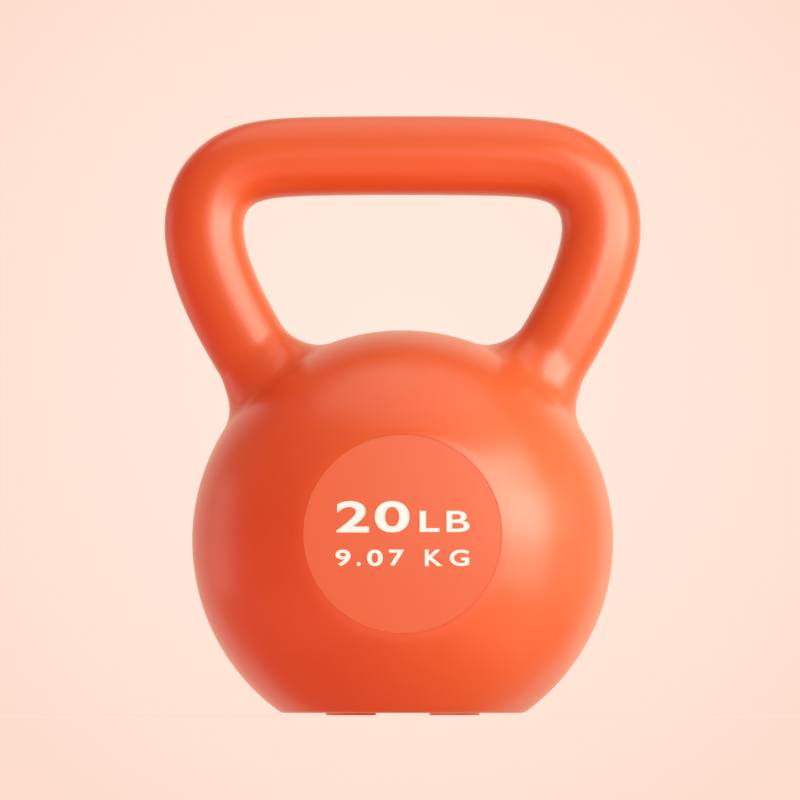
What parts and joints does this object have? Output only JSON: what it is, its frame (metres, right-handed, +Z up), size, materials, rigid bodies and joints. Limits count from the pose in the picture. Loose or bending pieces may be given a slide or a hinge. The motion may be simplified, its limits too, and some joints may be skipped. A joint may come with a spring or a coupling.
{
  "type": "kettlebell",
  "caption": "Round-bodied exercise weight with a thick looped handle, a flat marked disc on its front and a flat base.",
  "frame": {"origin": "middle of the underside, on the surface that it stands on, below the middle of the bell", "axes": "+Z up, X along the handle's grip, -Y towards the side with the printed weight"},
  "size_m": [0.2216, 0.1724, 0.2786],
  "materials": {
    "orange_shell": "satin",
    "orange_plug": "satin",
    "orange_disc": "satin",
    "white_print": "matte",
    "cement": "matte",
    "steel": "satin"
  },
  "bodies": {
    "root": {"outer_shell": "orange_shell", "cement_fill": "cement", "handle_tube": "steel", "base_plug": "orange_plug", "front_marking_disc": "orange_disc", "back_marking_disc": "orange_disc", "mark_pounds_2": "white_print", "mark_pounds_0": "white_print", "mark_pounds_L": "white_print", "mark_pounds_B": "white_print", "mark_kilos_9": "white_print", "mark_kilos_point": "white_print", "mark_kilos_0": "white_print", "mark_kilos_7": "white_print", "mark_kilos_K": "white_print", "mark_kilos_G": "white_print"}
  },
  "joints": []
}
